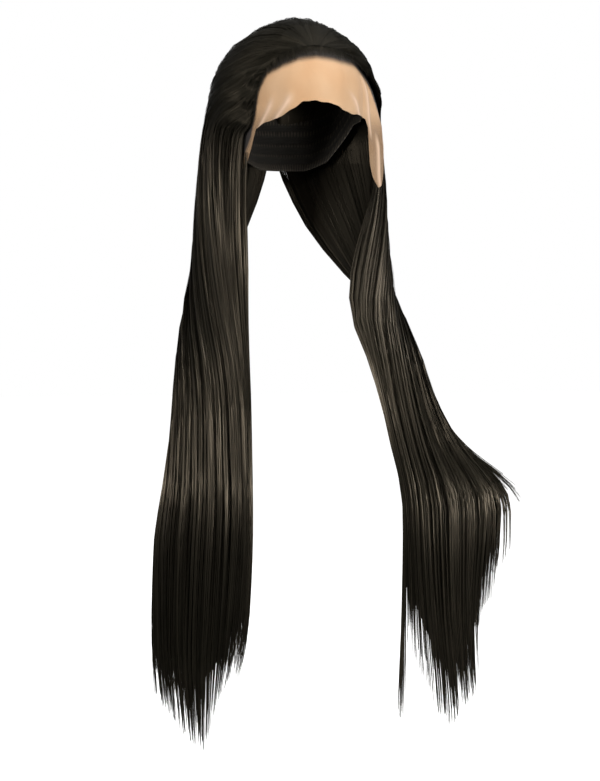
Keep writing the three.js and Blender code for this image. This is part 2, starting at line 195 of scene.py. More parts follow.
# %% Driving sizes of the hair
HEAD_TURN = math.radians(14)
HAIR_LENGTH = 792 * MM
CHEST_REACH = 90 * MM
ROOT_SPREAD = 0.75
CROWN_STEPS = 9
LAST_ROW = 23
ROW_DROP = (HAIR_LENGTH - CROWN_HAIR_DEPTH) / (LAST_ROW - CROWN_STEPS)
SIDE_HAIR_DEPTH = 300 * MM
LENGTHS_ROW = CROWN_STEPS + (SIDE_HAIR_DEPTH - CROWN_HAIR_DEPTH) / ROW_DROP
LOCKS = 8

SECTION_COLUMNS = [
    "level",
    "front_out",
    "front_fore",
    "mid_out",
    "mid_fore",
    "back_out",
    "back_fore",
    "thick",
]
RIGHT_SECTIONS = [
    (0.221, 0.65, 0.62, 1.02, -0.33, 0.36, -1.16, 0.64),
    (0.28, 0.58, 0.51, 1.04, -0.2, 0.52, -0.98, 0.64),
    (0.331, 0.56, 0.51, 1.06, 0, 0.84, -0.64, 0.68),
    (0.381, 0.58, 0.62, 1.02, 0.38, 1.12, -0.09, 0.77),
    (0.449, 0.54, 0.78, 0.97, 0.73, 1.2, 0.44, 0.86),
    (0.518, 0.51, 0.91, 0.94, 0.93, 1.28, 0.73, 0.95),
    (0.636, 0.49, 0.98, 0.95, 1.04, 1.42, 0.91, 1),
    (0.707, 0.49, 0.96, 0.98, 1.02, 1.52, 0.89, 1),
    (0.808, 0.52, 0.89, 1.03, 0.96, 1.56, 0.82, 0.91),
    (0.884, 0.6, 0.84, 1.06, 0.89, 1.56, 0.76, 0.73),
    (1, 0.88, 0.82, 1.04, 0.84, 1.5, 0.71, 0.41),
]
LEFT_SECTIONS = [
    (0.221, 0.49, -0.11, 0.48, -0.72, -0.09, -1.16, 0.55),
    (0.28, 0.4, 0.16, 0.55, -0.44, 0.06, -1.02, 0.63),
    (0.331, 0.34, 0.38, 0.58, -0.16, 0.33, -0.69, 0.74),
    (0.381, 0.33, 0.58, 0.59, 0.29, 0.63, -0.11, 0.84),
    (0.449, 0.48, 0.76, 0.67, 0.67, 0.76, 0.4, 0.95),
    (0.518, 0.58, 0.89, 0.75, 0.87, 0.9, 0.62, 1),
    (0.581, 0.65, 0.96, 0.86, 0.96, 1.14, 0.78, 0.95),
    (0.613, 0.7, 0.97, 0.94, 0.98, 1.36, 0.8, 0.92),
    (0.66, 0.73, 0.97, 0.99, 0.97, 1.47, 0.82, 0.9),
    (0.707, 0.73, 0.96, 0.99, 0.96, 1.43, 0.82, 0.9),
    (0.808, 0.73, 0.89, 1.02, 0.91, 1.34, 0.78, 0.79),
    (0.884, 0.72, 0.87, 1.06, 0.87, 1.32, 0.73, 0.63),
    (0.972, 0.71, 0.84, 1.1, 0.82, 1.32, 0.69, 0.37),
]
RIGHT = {
    "sign": -1,
    "spread": 100 * MM,
    "lift": 26 * MM,
    "thickness": 44 * MM,
    "first_root": 54,
    "first_round": 62,
    "front_edge": 0.3,
    "sections": RIGHT_SECTIONS,
    "tips": [0.89, 0.926, 0.985, 1, 0.995, 0.985, 0.965, 0.94],
    "flick": 0,
}
LEFT = {
    "sign": 1,
    "spread": 160 * MM,
    "lift": 20 * MM,
    "thickness": 38 * MM,
    "first_root": 57,
    "first_round": 99,
    "front_edge": 0.9,
    "sections": LEFT_SECTIONS,
    "tips": [0.86, 0.9, 0.95, 0.97, 0.945, 0.935, 0.915, 0.72],
    "flick": 1,
}
print("the hair is", round(HAIR_LENGTH / MM), "mm long, and a row drops", round(ROW_DROP / MM, 1), "mm")

# %% [markdown]
# On the head the hair lies flat at the hairline and lifts to its full height some 18 degrees behind it,
# more at the ears than at the crown. Brushed back, it leaves the hairline along a great circle, and then
# its own weight turns it straight down. It is thin at the hairline, and low down also at its front edge and
# at the parting. Higher up, front_edge says how much of its thickness each side keeps at the front edge.

# %% Ways over the head
FULL_LIFT_ANGLE = 18
THINNEST_SHARE = 0.12
TURN_SHARES = (0.3, 1.1)
LEAST_HAIR = 3.5 * MM
EDGE_SHARE = 0.3
EDGE_WIDTH = 0.14
EDGE_THINS_FROM = CROWN_STEPS - 5
SWEPT_AHEAD = 0.25
SIDES_BLEND = 0.6
LIFT_BY_DEPTH = [
    (0, 0.46),
    (HAIRLINE_DEPTH * 0.3, 0.36),
    (HAIRLINE_DEPTH * 0.7, 0.42),
    (HAIRLINE_DEPTH * 1.2, 0.58),
    (CROWN_HEIGHT * 0.75, 0.72),
    (CROWN_HEIGHT, 0.85),
    (CROWN_HAIR_DEPTH, 1.05),
]


def smooth(value, low, high):
    share = np.clip((value - low) / (high - low), 0, 1)
    return share * share * (3 - 2 * share)


def lerp(a, b, share):
    return a + (b - a) * share


def unit(vectors):
    return vectors / np.maximum(np.linalg.norm(vectors, axis=-1, keepdims=True), 1e-9)


def toward(around, down):
    around, down = np.broadcast_arrays(np.radians(around), down)
    return np.stack([np.sin(down) * np.sin(around), -np.sin(down) * np.cos(around), np.cos(down)], axis=-1)


def edge_share(distance, at_edge=EDGE_SHARE):
    return lerp(at_edge, 1, smooth(distance, 0, EDGE_WIDTH))


HAIRLINE_WAYS = np.array([toward(around, down_angle(depth)) for around, depth in HAIRLINE])


def hair_thickness(direction, around, depth):
    across = smooth(direction[..., 0], -SIDES_BLEND, SIDES_BLEND)
    full = lerp(RIGHT["lift"], LEFT["lift"], across) * read(LIFT_BY_DEPTH, depth)
    nearest = np.degrees(np.arccos(np.clip(direction @ HAIRLINE_WAYS.T, -1, 1))).min(axis=-1)
    grown = smooth(nearest, 0, FULL_LIFT_ANGLE)
    return np.maximum(LEAST_HAIR, full * lerp(THINNEST_SHARE, 1, grown) - lace_stand(around, depth))


def crown_marks(side, place, row):
    root = side["sign"] * side["first_root"] * (1 - place) ** ROOT_SPREAD
    end = side["sign"] * lerp(side["first_round"], 180, place)
    root_down = down_angle(read(HAIRLINE, root))
    start = toward(root, root_down)
    stop = toward(end, down_angle(CROWN_HAIR_DEPTH))
    arc = np.arccos(np.sum(start * stop, axis=-1, keepdims=True))
    share = (row / CROWN_STEPS)[..., None]
    swept = (np.sin((1 - share) * arc) * start + np.sin(share * arc) * stop) / np.sin(arc)
    falling = toward(end, down_angle(CROWN_HAIR_DEPTH) - (1 - row / CROWN_STEPS) * arc[..., 0])
    direction = unit(lerp(swept, falling, smooth(share, *TURN_SHARES)))
    ahead = toward(root, root_down - row / CROWN_STEPS * arc[..., 0])
    direction = np.where(share < 0, unit(lerp(ahead, swept, SWEPT_AHEAD)), direction)
    around = np.degrees(np.arctan2(direction[..., 0], -direction[..., 1]))
    down = np.arccos(np.clip(direction[..., 2], -1, 1))
    depth = -on_head(around, down, 0)[..., 2]
    stand = lace_stand(around, depth)
    point = on_head(around, down, CAP_WALL + SEAM_GAP + stand, hangs=True)
    outward = unit(on_head(around, down, 2 * CROWN_HEIGHT, hangs=True) - point)
    lower = smooth(row, EDGE_THINS_FROM, CROWN_STEPS)
    front = edge_share(place, lerp(side["front_edge"], EDGE_SHARE, lower))
    parted = lerp(1, edge_share(1 - place), lower)
    thick = hair_thickness(direction, around, depth) * front * parted
    return point, outward, np.maximum(thick, LEAST_HAIR)


print("way over the crown from", crown_marks(LEFT, np.array([1.0]), np.array([0.0]))[0].round(3))

# %% [markdown]
# Below the ears the hair comes forward from the nape and hangs down in front. Three points of a section give
# its curve, by Lagrange's formula, and its outward side is square to that curve. The hair thins toward its
# front edge, toward the parting and toward the tips.

# %% Ways down the lengths
GROOVE_SHARE = 0.88
TIP_THICKNESS = 0.18
TIP_START = 0.6
STEP_ASIDE = 0.01


def section_point(side, level, place):
    part = {}
    for i, name in enumerate(SECTION_COLUMNS):
        part[name] = read([(row[0], row[i]) for row in side["sections"]], level)
    front = (1 - place) * (1 - 2 * place)
    mid = 4 * place * (1 - place)
    back = place * (2 * place - 1)
    out = front * part["front_out"] + mid * part["mid_out"] + back * part["back_out"]
    fore = front * part["front_fore"] + mid * part["mid_fore"] + back * part["back_fore"]
    x = side["sign"] * side["spread"] * out
    y = -CHEST_REACH * fore
    turned_x = x * math.cos(HEAD_TURN) + y * math.sin(HEAD_TURN)
    turned_y = -x * math.sin(HEAD_TURN) + y * math.cos(HEAD_TURN)
    point = np.stack(np.broadcast_arrays(turned_x, turned_y, -HAIR_LENGTH * level), axis=-1)
    return point, side["thickness"] * part["thick"]


def off_lock(place):
    return 2 * np.abs(place * LOCKS % 1 - 0.5)


def tip_level(side, place):
    return read([((i + 0.5) / LOCKS, tip) for i, tip in enumerate(side["tips"])], place)


def length_marks(side, place, row):
    level = (CROWN_HAIR_DEPTH + ROW_DROP * (row - CROWN_STEPS)) / HAIR_LENGTH
    middle, thick = section_point(side, level, place)
    ahead, behind = [section_point(side, level, place + step)[0] for step in (STEP_ASIDE, -STEP_ASIDE)]
    run = ahead - behind
    outward = side["sign"] * unit(np.stack([run[..., 1], -run[..., 0], np.zeros_like(thick)], axis=-1))
    top = side["sections"][0][0]
    share = (level - top) / (tip_level(side, place) - top)
    drawn = lerp(1, TIP_THICKNESS, smooth(share, TIP_START, 1))
    return middle, outward, thick * drawn * edge_share(np.minimum(place, 1 - place))


print("middle of the right length, halfway down:", section_point(RIGHT, 0.6, 0.5)[0].round(3))

# %% [markdown]
# The block's faces are worked out once, on a grid of places and rows. The bend at ear height is eased by
# averaging, and a Catmull-Rom curve makes the rows smooth.
#
# The outer face swells along each of the eight locks, and a little along three finer streaks in each, less
# on the head where the hair is combed flat. On the left the hair swells a little at the temple, and below it
# the flap of lace holds the front hair away from the head.

# %% The block of hair on each side
PLACES_PER_LOCK = 24
PLACES = LOCKS * PLACES_PER_LOCK + 1
FIRST_ROW = -3
ROW_CUTS = 8
BEYOND_EDGE = 8
CROWN_GROOVE = 0.12
LENGTH_GROOVE = 0.28
STREAKS_PER_LOCK = 3
STREAK_GROOVE = 0.08
GROOVED_ROWS = (5, 12)
FLAP_PUSH = 16 * MM
FLAP_DEPTHS = (75 * MM, 120 * MM, 150 * MM, 340 * MM)
TEMPLE_BULGE = 4 * MM
TEMPLE_DEPTHS = (0, 45 * MM, 60 * MM, 110 * MM)
PUSHED_PLACES = (0.15, 0.7)
SIDEWAYS = np.array([math.cos(HEAD_TURN), -math.sin(HEAD_TURN), 0])


def smooth_rows(marks):
    ends = [2 * marks[:, :1] - marks[:, 1:2], marks, 2 * marks[:, -1:] - marks[:, -2:-1]]
    p = np.concatenate(ends, axis=1)
    a, b, c, d = p[:, :-3], p[:, 1:-2], p[:, 2:-1], p[:, 3:]
    fine = []
    for cut in range(ROW_CUTS):
        t = cut / ROW_CUTS
        bend = (2 * a - 5 * b + 4 * c - d) * t * t + (3 * b - a - 3 * c + d) * t**3
        fine.append(b + 0.5 * ((c - a) * t + bend))
    joined = np.stack(fine, axis=2).reshape(len(marks), -1, 3)
    return np.concatenate([joined, marks[:, -1:]], axis=1)


def ease(marks):
    soft = marks.copy()
    join = CROWN_STEPS - FIRST_ROW
    for reach in (4, 3, 2, 1):
        rows = slice(join - reach, join + reach + 1)
        before = soft[:, join - reach - 1 : join + reach]
        after = soft[:, join - reach + 1 : join + reach + 2]
        soft[:, rows] = 0.25 * before + 0.5 * soft[:, rows] + 0.25 * after
    return soft


def relief(place, row):
    groove = lerp(CROWN_GROOVE, LENGTH_GROOVE, smooth(row, *GROOVED_ROWS))
    lock = 1 - np.sqrt(1 - (GROOVE_SHARE * off_lock(place)) ** 2)
    streak = 1 - np.sqrt(1 - (GROOVE_SHARE * off_lock(place * STREAKS_PER_LOCK + 0.5 / LOCKS)) ** 2)
    return (1 - groove * lock - STREAK_GROOVE * streak)[..., None]


def hump(value, start, full, wane, end):
    return smooth(value, start, full) * (1 - smooth(value, wane, end))


def pushed(side, place, face):
    depth = -face[..., 2]
    push = FLAP_PUSH * hump(depth, *FLAP_DEPTHS) + TEMPLE_BULGE * hump(depth, *TEMPLE_DEPTHS)
    beside = (1 - smooth(place, *PUSHED_PLACES)) * (side["sign"] > 0)
    return face + (push * beside)[..., None] * SIDEWAYS


def hair_block(side):
    place = np.linspace(0, 1, PLACES)[:, None]
    rows = np.arange(FIRST_ROW, CROWN_STEPS + 1, dtype=float)[None, :]
    point, outward, thick = crown_marks(side, *np.broadcast_arrays(place, rows))
    inner = [point]
    outer = [point + outward * thick[..., None] * relief(place, rows)]
    rows = np.arange(CROWN_STEPS + 1, LAST_ROW + 1, dtype=float)[None, :]
    middle, outward, thick = length_marks(side, *np.broadcast_arrays(place, rows))
    inner.append(middle - outward * thick[..., None] / 2)
    outer.append(middle + outward * thick[..., None] * (relief(place, rows) - 0.5))
    faces = [ease(np.concatenate(face, axis=1)) for face in (inner, outer)]
    return [smooth_rows(pushed(side, place, face)) for face in faces]


def look_up(grid, place, row):
    across = np.clip(place * (PLACES - 1), -BEYOND_EDGE, PLACES - 1 + BEYOND_EDGE)
    along = np.clip((row - FIRST_ROW) * ROW_CUTS, 0, grid.shape[1] - 1)
    i = np.clip(np.floor(across).astype(int), 0, PLACES - 2)
    j = np.clip(np.floor(along).astype(int), 0, grid.shape[1] - 2)
    s = (across - i)[..., None]
    t = (along - j)[..., None]
    near = lerp(grid[i, j], grid[i, j + 1], t)
    far = lerp(grid[i + 1, j], grid[i + 1, j + 1], t)
    return lerp(near, far, s)


def in_hair(side, place, row, layer):
    inner = look_up(side["faces"][0], place, row)
    outer = look_up(side["faces"][1], place, row)
    return lerp(inner, outer, layer[..., None]), unit(outer - inner)


for side in (RIGHT, LEFT):
    side["faces"] = hair_block(side)
print("grid of each side:", RIGHT["faces"][0].shape)

# %% [markdown]
# ## One hair
#
# A real hair is a tenth of a millimetre thick, too fine for a picture of a whole wig. So one ribbon, about
# a millimetre wide, stands for the handful of hairs that lie together. Hairs also gather in wisps that
# wander a little, turn their shine together, and close to a point at the tips. A wisp is therefore made
# first, and its ribbons lean toward its middle. All random numbers come from one seeded source, so each run
# is the same.
#
# At the outer edge of the left length the last wisps are short and flick outward. The ones before them are
# ragged and a little longer, and some among them hang down.

# %% Wisps and ribbons
chance = np.random.default_rng(11)
WISPS_PER_SIDE = 150
RIBBON_WIDTH = (0.5 * MM, 1.1 * MM)
WISP_TIPS = 0.06
HAIR_TIPS = 0.13
WISP_SWAY = 0.005
HAIR_SWAY = 0.003
WISP_ROLL = 0.2
HAIR_ROLL = 0.4
WISP_RISE = 0.03
HANGING_TIP = 0.91
HANGING_PLACES = (0.7, 0.76)
EDGE_WISPS_PLACE = 0.78
HANGING_SHARES = (0.35, 1)
HANGING_ZONE = (0, 0.5)
FLICKED_SHARE = 0.85
FLICKED_ZONE = (0.5, 0.8)
FLICKED_TIPS = (0.69, 0.65)
FLICKED_REACH = (0.55, 1)
RAGGED_TIPS = (0.84, 0.71)
RAGGED_REACH = (0.1, 0.3)
TIP_SPREAD = 0.02
REACH_POWER = 1.3
LOOSE_SHARE = 0.55
FLICK_ROW = 15.9
FLICK_BEND = 0.8
FLICK_SLOPE = 0.58


def edge_wisps(place, tip):
    count = len(place)
    at_edge = np.maximum(place - EDGE_WISPS_PLACE, 0) / (1 - EDGE_WISPS_PLACE)
    drawn = chance.uniform(0, 1, count)
    flicked = drawn < FLICKED_SHARE * smooth(at_edge, *FLICKED_ZONE)
    hanging = ~flicked & (drawn > lerp(*HANGING_SHARES, smooth(at_edge, *HANGING_ZONE)))
    ragged = (at_edge > 0) & ~flicked & ~hanging
    spread = chance.uniform(-TIP_SPREAD, TIP_SPREAD, count)
    tip = np.where(ragged, lerp(*RAGGED_TIPS, at_edge) + spread, tip)
    spread = chance.uniform(-TIP_SPREAD, TIP_SPREAD / 2, count)
    tip = np.where(flicked, lerp(*FLICKED_TIPS, at_edge) + spread, tip)
    far = chance.uniform(*FLICKED_REACH, count)
    near = chance.uniform(*RAGGED_REACH, count)
    reach = np.where(flicked, far, np.where(ragged, near, 0))
    return tip, reach * at_edge**REACH_POWER, np.where(flicked | ragged, LOOSE_SHARE, 0)


def make_wisps(side):
    count = WISPS_PER_SIDE
    place = (np.arange(count) + chance.uniform(0.1, 0.9, count)) / count
    tip = tip_level(side, place) * (1 - WISP_TIPS * chance.uniform(0, 1, count) ** 2)
    flick = loose = np.zeros(count)
    if side["flick"]:
        hangs = np.maximum(tip, HANGING_TIP * smooth(place, *HANGING_PLACES))
        tip, flick, loose = edge_wisps(place, hangs)
    side["wisps"] = {
        "place": place,
        "sway": chance.uniform(0.2, 1, count) * WISP_SWAY,
        "beat": chance.uniform(0.25, 0.75, count),
        "phase": chance.uniform(0, 2 * math.pi, count),
        "roll": chance.normal(0, WISP_ROLL, count),
        "tone": chance.uniform(0, 1, count),
        "tip": tip,
        "rise": chance.normal(0, WISP_RISE, count),
        "flick": flick,
        "loose": loose,
    }


def row_of(level):
    return CROWN_STEPS + (level * HAIR_LENGTH - CROWN_HAIR_DEPTH) / ROW_DROP


def make_hairs(side, place, first_row, layer, last_row=None, width=1, sway=1, gather=1):
    count = len(place)
    wisps = side["wisps"]
    wisp = np.clip((place * WISPS_PER_SIDE).astype(int), 0, WISPS_PER_SIDE - 1)
    if last_row is None:
        last_row = row_of(wisps["tip"][wisp] * (1 - HAIR_TIPS * chance.uniform(0, 1, count) ** 2))
    return {
        "side": side,
        "place": place,
        "wisp": wisp,
        "first": first_row,
        "last": last_row,
        "layer": layer,
        "sway": sway * chance.uniform(0.2, 1, count) * HAIR_SWAY,
        "beat": chance.uniform(0.5, 1.3, count),
        "phase": chance.uniform(0, 2 * math.pi, count),
        "roll": chance.normal(0, HAIR_ROLL, count),
        "tone": chance.uniform(0, 1, count),
        "gather": np.full(count, float(gather)),
        "width": width * chance.uniform(*RIBBON_WIDTH, count),
    }


for side in (RIGHT, LEFT):
    make_wisps(side)
print("wisps on each side:", WISPS_PER_SIDE)

# %% [markdown]
# A ribbon is a strip of quads along its way. It starts at the inner face, where it is knotted in, and rises
# to its own layer. It is turned a little about its own length, as round hairs catch the light in all
# directions, but less on the head, where it is combed flat, and it narrows at both ends.

# %% Ribbons of a group of hairs
RISE_ROWS = 1.6
ROOT_ROWS = 1.4
TIP_ROWS = 2.6
THIN_ROOT = 0.12
THIN_TIP = 0.15
NEARBY = 0.1
PULL_TO_WISP = (0.25, 0.75)
PULL_AT_TIP = 0.2
TWIST = 0.3
TWIST_BEAT = 0.7
CALM_SHARE = 0.25
CALM_ROWS = (2, CROWN_STEPS + 3)


def ribbon_points(hairs, rows):
    side = hairs["side"]
    wisps = {name: values[hairs["wisp"]][:, None] for name, values in side["wisps"].items()}
    names = ("place", "first", "last", "layer", "sway", "beat", "phase", "gather")
    one = {name: hairs[name][:, None] for name in names}
    grown = np.clip((rows - one["first"]) / RISE_ROWS, 0, 1)
    left = np.clip((one["last"] - rows) / TIP_ROWS, 0, 1)
    pull = lerp(*PULL_TO_WISP, smooth(rows, CROWN_STEPS, LAST_ROW)) + PULL_AT_TIP * (1 - left)
    place = lerp(one["place"], wisps["place"], pull * grown * one["gather"] * (1 - wisps["loose"]))
    place = place + wisps["sway"] * np.sin(wisps["beat"] * rows + wisps["phase"]) * grown
    place = place + one["sway"] * np.sin(one["beat"] * rows + one["phase"]) * grown
    layer = (one["layer"] + wisps["rise"] * left) * smooth(grown, -0.3, 1)
    point, outward = in_hair(side, place, rows, layer)
    past = np.maximum(rows - FLICK_ROW, 0)
    flick = wisps["flick"] * FLICK_SLOPE * ROW_DROP * past**2 / (past + FLICK_BEND)
    return point + flick[..., None] * SIDEWAYS, outward


def ribbons(hairs, start, stop, steps):
    share = np.linspace(0, 1, steps + 1)[None, :]
    start = np.broadcast_to(start, hairs["place"].shape)[:, None]
    stop = np.broadcast_to(stop, hairs["place"].shape)[:, None]
    rows = lerp(start, stop, share)
    point, outward = ribbon_points(hairs, rows)
    along = unit(ribbon_points(hairs, rows + NEARBY)[0] - ribbon_points(hairs, rows - NEARBY)[0])
    across = unit(np.cross(along, outward))
    roll = hairs["roll"][:, None] + hairs["side"]["wisps"]["roll"][hairs["wisp"]][:, None]
    roll = roll + TWIST * np.sin(TWIST_BEAT * rows + hairs["phase"][:, None])
    roll = (roll * lerp(CALM_SHARE, 1, smooth(rows, *CALM_ROWS)))[..., None]
    lean = np.cos(roll) * across + np.sin(roll) * np.cross(across, along)
    root = lerp(THIN_ROOT, 1, smooth(rows - hairs["first"][:, None], 0, ROOT_ROWS))
    tip = lerp(THIN_TIP, 1, smooth(hairs["last"][:, None] - rows, 0, TIP_ROWS))
    half = 0.5 * hairs["width"][:, None] * np.minimum(root, tip)
    edges = np.stack([point - lean * half[..., None], point + lean * half[..., None]], axis=2)
    facing = unit(np.cross(lean, along))
    tone = 0.5 * hairs["tone"] + 0.5 * hairs["side"]["wisps"]["tone"][hairs["wisp"]]
    length = np.broadcast_to(rows * ROW_DROP, point.shape[:2])
    tone = np.broadcast_to(tone[:, None], point.shape[:2])
    return {"edges": edges, "facing": np.stack([facing, facing], axis=2), "tone": tone, "length": length}


print("a ribbon is", RIBBON_WIDTH[0] / MM, "to", RIBBON_WIDTH[1] / MM, "mm wide")

# %% [markdown]
# The hairs deep inside are never seen one by one, so a plain dark body fills the block between its faces.
# It is made of the same kind of strips, laid edge to edge in a ring: out along the outer face and back
# along the inner one. It starts behind the hairline and closes well above the tips, so only ribbons show at
# both ends.
#
# In the middle of the forehead the knots start a little lower on the lace than the solid's edge does,
# because a hairline is a soft edge that thins out.

# %% The body under the ribbons
BODY_PLACES = 65
BODY_LAYERS = (0.08, 0.85)
BODY_CORE = 0.45
BODY_TONE = 0.3
BODY_TONE_CHANGE = 0.2
TONE_WAVE = 9
BODY_BEHIND = 9 * MM
FOREHEAD_DROP = 12 * MM
FOREHEAD_PLACES = (0.1, 0.65)
BODY_OPENS = 0.8
BODY_CLOSES = 2
BODY_END = 0.9
ROOT_MARGIN = 0.2


def lowered(place):
    return FOREHEAD_DROP * smooth(place, *FOREHEAD_PLACES)


def root_row(side, place, behind):
    hairline = look_up(side["faces"][0], place, np.zeros_like(place))
    next_mark = look_up(side["faces"][0], place, np.ones_like(place))
    pitch = np.linalg.norm(next_mark - hairline, axis=-1)
    return np.clip(behind / np.maximum(pitch, MM), FIRST_ROW + ROOT_MARGIN, CROWN_STEPS - 1)


def hair_body(side, start, stop, steps):
    place = np.linspace(0.01, 1, BODY_PLACES)
    place = np.concatenate([place, place[::-1], place[:1]])
    outer = np.arange(len(place)) < BODY_PLACES
    full = np.where(outer, BODY_LAYERS[1], BODY_LAYERS[0])
    full[-1] = BODY_LAYERS[1]
    level = tip_level(side, place)
    end = row_of(level * BODY_END)[:, None]
    first = root_row(side, place, BODY_BEHIND - lowered(place))[:, None]
    start = first if start is None else np.full_like(end, start)
    stop = end if stop is None else np.full_like(end, stop)
    rows = lerp(start, stop, np.linspace(0, 1, steps + 1)[None, :])
    opened = smooth(rows - first, 0, BODY_OPENS) * smooth(end - rows, 0, BODY_CLOSES)
    point, _ = in_hair(side, place[:, None], rows, lerp(BODY_CORE, full[:, None], opened))
    run = np.gradient(point, axis=0)
    facing = unit(np.cross(run, np.gradient(point, axis=1)))
    tone = BODY_TONE + BODY_TONE_CHANGE * np.sin(TONE_WAVE * place[:-1, None] * LOCKS)
    tone = np.broadcast_to(tone, (len(place) - 1, steps + 1))
    length = np.broadcast_to(rows[:-1] * ROW_DROP, tone.shape)
    edges, facing = [np.stack([values[:-1], values[1:]], axis=2) for values in (point, facing)]
    return {"edges": edges, "facing": facing, "tone": tone, "length": length}


print("the body keeps to layers", BODY_LAYERS)

# %% [markdown]
# Thousands of ribbons go into one mesh. Its arrays are filled straight from numpy, which is far quicker
# than adding faces one by one. Each corner keeps a place across and along its ribbon, for the direction of
# the shine, and each point keeps the hair's tone. Its normal comes from the curve of the hair itself, so
# two meshes that meet at a cut shine alike there.

# %% One mesh from many ribbons
MOST_TRIANGLES = 200000


def mesh_of_ribbons(name, groups):
    points, facing, tones, across, along, quads = [], [], [], [], [], []
    offset = 0
    for group in groups:
        count, stations = group["tone"].shape
        index = offset + np.arange(count * stations * 2).reshape(count, stations, 2)
        quad = np.stack([index[:, :-1, 0], index[:, :-1, 1], index[:, 1:, 1], index[:, 1:, 0]], axis=-1)
        quads.append(quad.reshape(-1, 4))
        points.append(group["edges"].reshape(-1, 3))
        facing.append(group["facing"].reshape(-1, 3))
        tones.append(np.repeat(group["tone"].reshape(-1), 2))
        across.append(np.tile([0.0, 1.0], count * stations))
        along.append(np.repeat(group["length"].reshape(-1), 2))
        offset += count * stations * 2
    points, quads = np.concatenate(points), np.concatenate(quads)
    mesh = bpy.data.meshes.new(name)
    mesh.vertices.add(len(points))
    mesh.vertices.foreach_set("co", points.astype(np.float32).ravel())
    mesh.loops.add(quads.size)
    mesh.loops.foreach_set("vertex_index", quads.astype(np.int32).ravel())
    mesh.polygons.add(len(quads))
    mesh.polygons.foreach_set("loop_start", np.arange(0, quads.size, 4, dtype=np.int32))
    mesh.polygons.foreach_set("use_smooth", np.ones(len(quads), bool))
    mesh.update(calc_edges=True)
    mesh.normals_split_custom_set_from_vertices(np.concatenate(facing).tolist())
    tone = mesh.attributes.new("tone", "FLOAT", "POINT")
    tone.data.foreach_set("value", np.concatenate(tones).astype(np.float32))
    flat = np.stack([np.concatenate(across), np.concatenate(along)], axis=-1)[quads.ravel()]
    mesh.uv_layers.new(name="along_hair").data.foreach_set("uv", flat.astype(np.float32).ravel())
    made = bpy.data.objects.new(name, mesh)
    bpy.context.scene.collection.objects.link(made)
    triangles = 2 * len(quads)
    if triangles >= MOST_TRIANGLES:
        raise ValueError(f"{name} has {triangles} triangles")
    print(name, "has", triangles, "triangles")
    return made


# %% [markdown]
# ## The hair of one side
#
# Three groups of hairs make up a side. The first is knotted in along the hairline and sweeps back over all
# the others. The second is sewn to the cap behind it, and the third around the nape. A few stray hairs
# leave the rest, and short fine ones soften the hairline. Thin locks hang apart at the edges, each given by
# its place, its tip and its width.

# %% Groups of hairs
HAIRLINE_HAIRS = 2100
CAP_HAIRS = 2500
NAPE_HAIRS = 1500
STRAY_HAIRS = 16
STRAY_ROWS = (3, 8)
BABY_HAIRS = 420
LOOSE_LOCKS = {
    "right": [(0.01, 0.9, 9 * MM)],
    "left": [(0, 0.955, 7 * MM), (0.99, 0.62, 9 * MM)],
}
HAIRS_IN_A_LOCK = 90
LOCK_TIPS = 0.05
LOCK_ROW = 8.5
LOCK_GATHER = 0.3
SECTION_WIDTH = 90 * MM
ROOTS_FROM = -9 * MM
SPARSE_WIDTH = 9 * MM
SPARSE_SHARE = 0.12
ROOT_CROWDING = (1.6, 4 * MM)
BABY_LENGTH = (8 * MM, 22 * MM)
CAP_ROWS = (0.5, 7.5)
NAPE_ROWS = (7.6, 8.8)
NAPE_TOP = 0.6
OUTER_SHARE = {"hairline": 0.7, "cap": 0.4, "nape": 0.1}
SHELL_DEPTH = 0.17
INSIDE_TOP = 0.95


def layers(count, outer_share):
    shell = 1 - SHELL_DEPTH * chance.uniform(0, 1, count)
    inside = INSIDE_TOP * np.sqrt(chance.uniform(0, 1, count))
    return np.where(chance.uniform(0, 1, count) < outer_share, shell, inside)


def places_of(count):
    return chance.uniform(0, 1, count)


def hairs_of(side):
    place = places_of(HAIRLINE_HAIRS)
    early = chance.uniform(0, 1, HAIRLINE_HAIRS) < SPARSE_SHARE
    sparse = chance.uniform(0, SPARSE_WIDTH, HAIRLINE_HAIRS)
    crowded = SPARSE_WIDTH + chance.gamma(*ROOT_CROWDING, HAIRLINE_HAIRS)
    behind = ROOTS_FROM + np.where(early, sparse, crowded)
    first = root_row(side, place, behind - lowered(place))
    front = make_hairs(side, place, first, layers(HAIRLINE_HAIRS, OUTER_SHARE["hairline"]))
    rows = chance.uniform(*CAP_ROWS, CAP_HAIRS)
    cap = make_hairs(side, places_of(CAP_HAIRS), rows, layers(CAP_HAIRS, OUTER_SHARE["cap"]))
    rows = chance.uniform(*NAPE_ROWS, NAPE_HAIRS)
    nape = make_hairs(side, places_of(NAPE_HAIRS), rows, layers(NAPE_HAIRS, OUTER_SHARE["nape"]) * NAPE_TOP)
    return front, cap, nape


def loose_hairs(side, place, tip, width):
    angle = chance.uniform(0, 2 * math.pi, HAIRS_IN_A_LOCK)
    reach = np.sqrt(chance.uniform(0, 1, HAIRS_IN_A_LOCK)) * width / 2
    places = place + reach * np.cos(angle) / SECTION_WIDTH
    layer = 0.5 + reach * np.sin(angle) / (EDGE_SHARE * side["thickness"])
    level = tip * (1 - LOCK_TIPS * chance.uniform(0, 1, HAIRS_IN_A_LOCK) ** 2)
    first = np.full(HAIRS_IN_A_LOCK, LOCK_ROW)
    return make_hairs(side, places, first, layer, row_of(level), gather=LOCK_GATHER)


def stray_hairs(side):
    place = chance.uniform(0, 1, STRAY_HAIRS)
    layer = chance.uniform(1, 1.03, STRAY_HAIRS)
    return make_hairs(side, place, chance.uniform(*STRAY_ROWS, STRAY_HAIRS), layer, width=0.3, sway=5)


